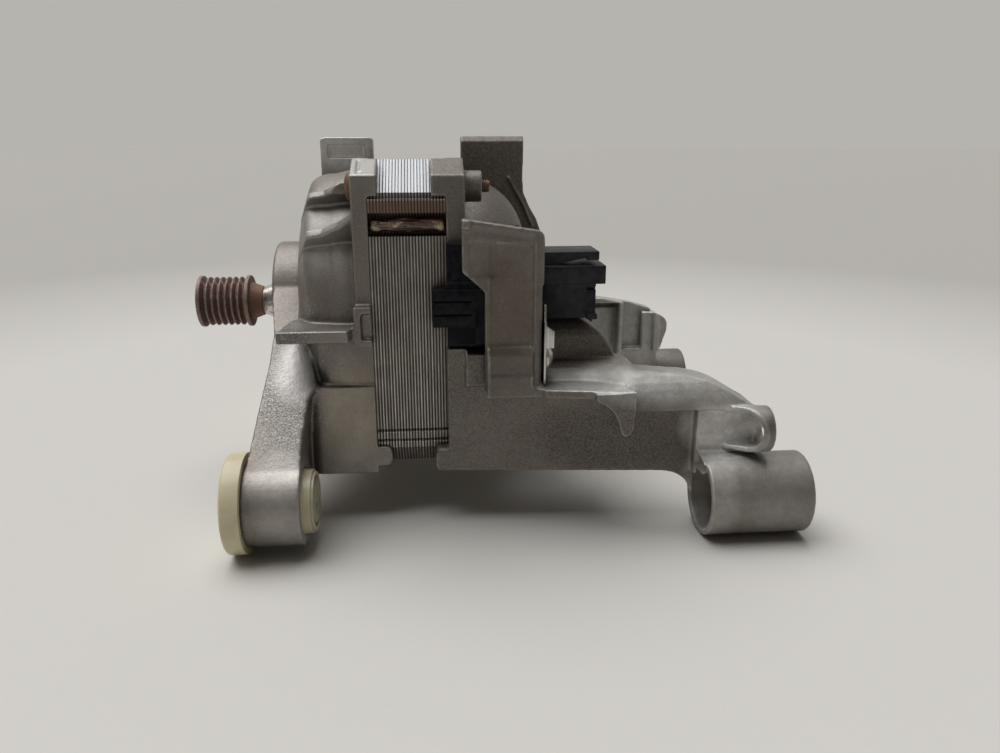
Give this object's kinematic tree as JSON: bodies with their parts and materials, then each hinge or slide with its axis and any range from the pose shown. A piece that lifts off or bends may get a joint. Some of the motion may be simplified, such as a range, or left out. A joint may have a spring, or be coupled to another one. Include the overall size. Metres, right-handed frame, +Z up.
{
  "type": "washing machine motor",
  "caption": "Belt-drive brushed motor with cast aluminium end shields, a laminated stator, a grooved belt pulley, bushed front eyes and rear mounting sleeves.",
  "frame": {"origin": "middle of the length and width, on the plane that the front bushes and rear sleeves stand on", "axes": "+X along the shaft away from the pulley, +Y across the shaft away from the connector side, +Z up"},
  "size_m": [0.2106, 0.17, 0.1295],
  "materials": {
    "cast_aluminium": "sand-blasted cast surface, oxidised grey",
    "laminated_iron": "stacked sheet edges, thinly varnished, bright where rubbed",
    "enamelled_copper": "lacquered winding wire",
    "insulation_film": "thin slot film",
    "varnished_sleeve": "glossy varnished sleeving",
    "rusty_steel": "brown surface rust",
    "cream_plastic": "translucent cream moulding, slightly yellowed",
    "black_plastic": "satin black moulding",
    "spring_steel": "bright spring wire",
    "carbon": "pressed carbon",
    "tinned_brass": "tinned sheet",
    "bright_steel": "ground steel",
    "ferrite": "dark sintered magnet",
    "copper": "turned copper, worn to a brown track"
  },
  "bodies": {
    "stator": {"front_shield": "cast_aluminium", "rear_shield": "cast_aluminium", "rear_arm_near": "cast_aluminium", "rear_arm_far": "cast_aluminium", "rear_sleeve_near": "cast_aluminium", "rear_sleeve_far": "cast_aluminium", "earth_lug": "cast_aluminium", "stator_stack": "laminated_iron", "field_coil_near": "enamelled_copper", "field_coil_far": "enamelled_copper", "slot_liners": "insulation_film", "lead_sleeve": "varnished_sleeve", "through_bolts": "rusty_steel", "front_bush_near": "cream_plastic", "front_bush_far": "cream_plastic", "brush_holder_near": "black_plastic", "brush_holder_far": "black_plastic", "brush_spring_near": "spring_steel", "brush_spring_far": "spring_steel", "connector_housing": "black_plastic", "connector_blades": "tinned_brass", "earth_tab": "tinned_brass", "earth_screw": "bright_steel", "front_bearing_outer": "bright_steel", "rear_bearing_outer": "bright_steel", "wave_washer": "spring_steel", "tacho_coil": "enamelled_copper", "tacho_cap": "black_plastic"},
    "rotor": {"shaft": "bright_steel", "pulley": "rusty_steel", "rotor_stack": "laminated_iron", "rotor_winding": "enamelled_copper", "commutator": "copper", "tacho_magnet": "ferrite", "front_bearing_inner": "bright_steel", "front_bearing_balls": "bright_steel", "rear_bearing_inner": "bright_steel", "rear_bearing_balls": "bright_steel"},
    "brush_near": {"carbon_brush_near": "carbon"},
    "brush_far": {"carbon_brush_far": "carbon"}
  },
  "joints": [
    {"name": "rotor_spin", "type": "hinge", "parent": "stator", "child": "rotor", "pos_m": [0, 0, 0.069], "axis": [1, 0, 0], "continuous": true},
    {"name": "brush_near_slide", "type": "slide", "parent": "stator", "child": "brush_near", "axis": [0, -1, 0], "range_m": [0, 0.005], "stiffness_N_per_m": 300, "springref_m": -0.008, "deforming": ["brush_spring_near"]},
    {"name": "brush_far_slide", "type": "slide", "parent": "stator", "child": "brush_far", "axis": [0, 1, 0], "range_m": [0, 0.005], "stiffness_N_per_m": 300, "springref_m": -0.008, "deforming": ["brush_spring_far"]}
  ]
}
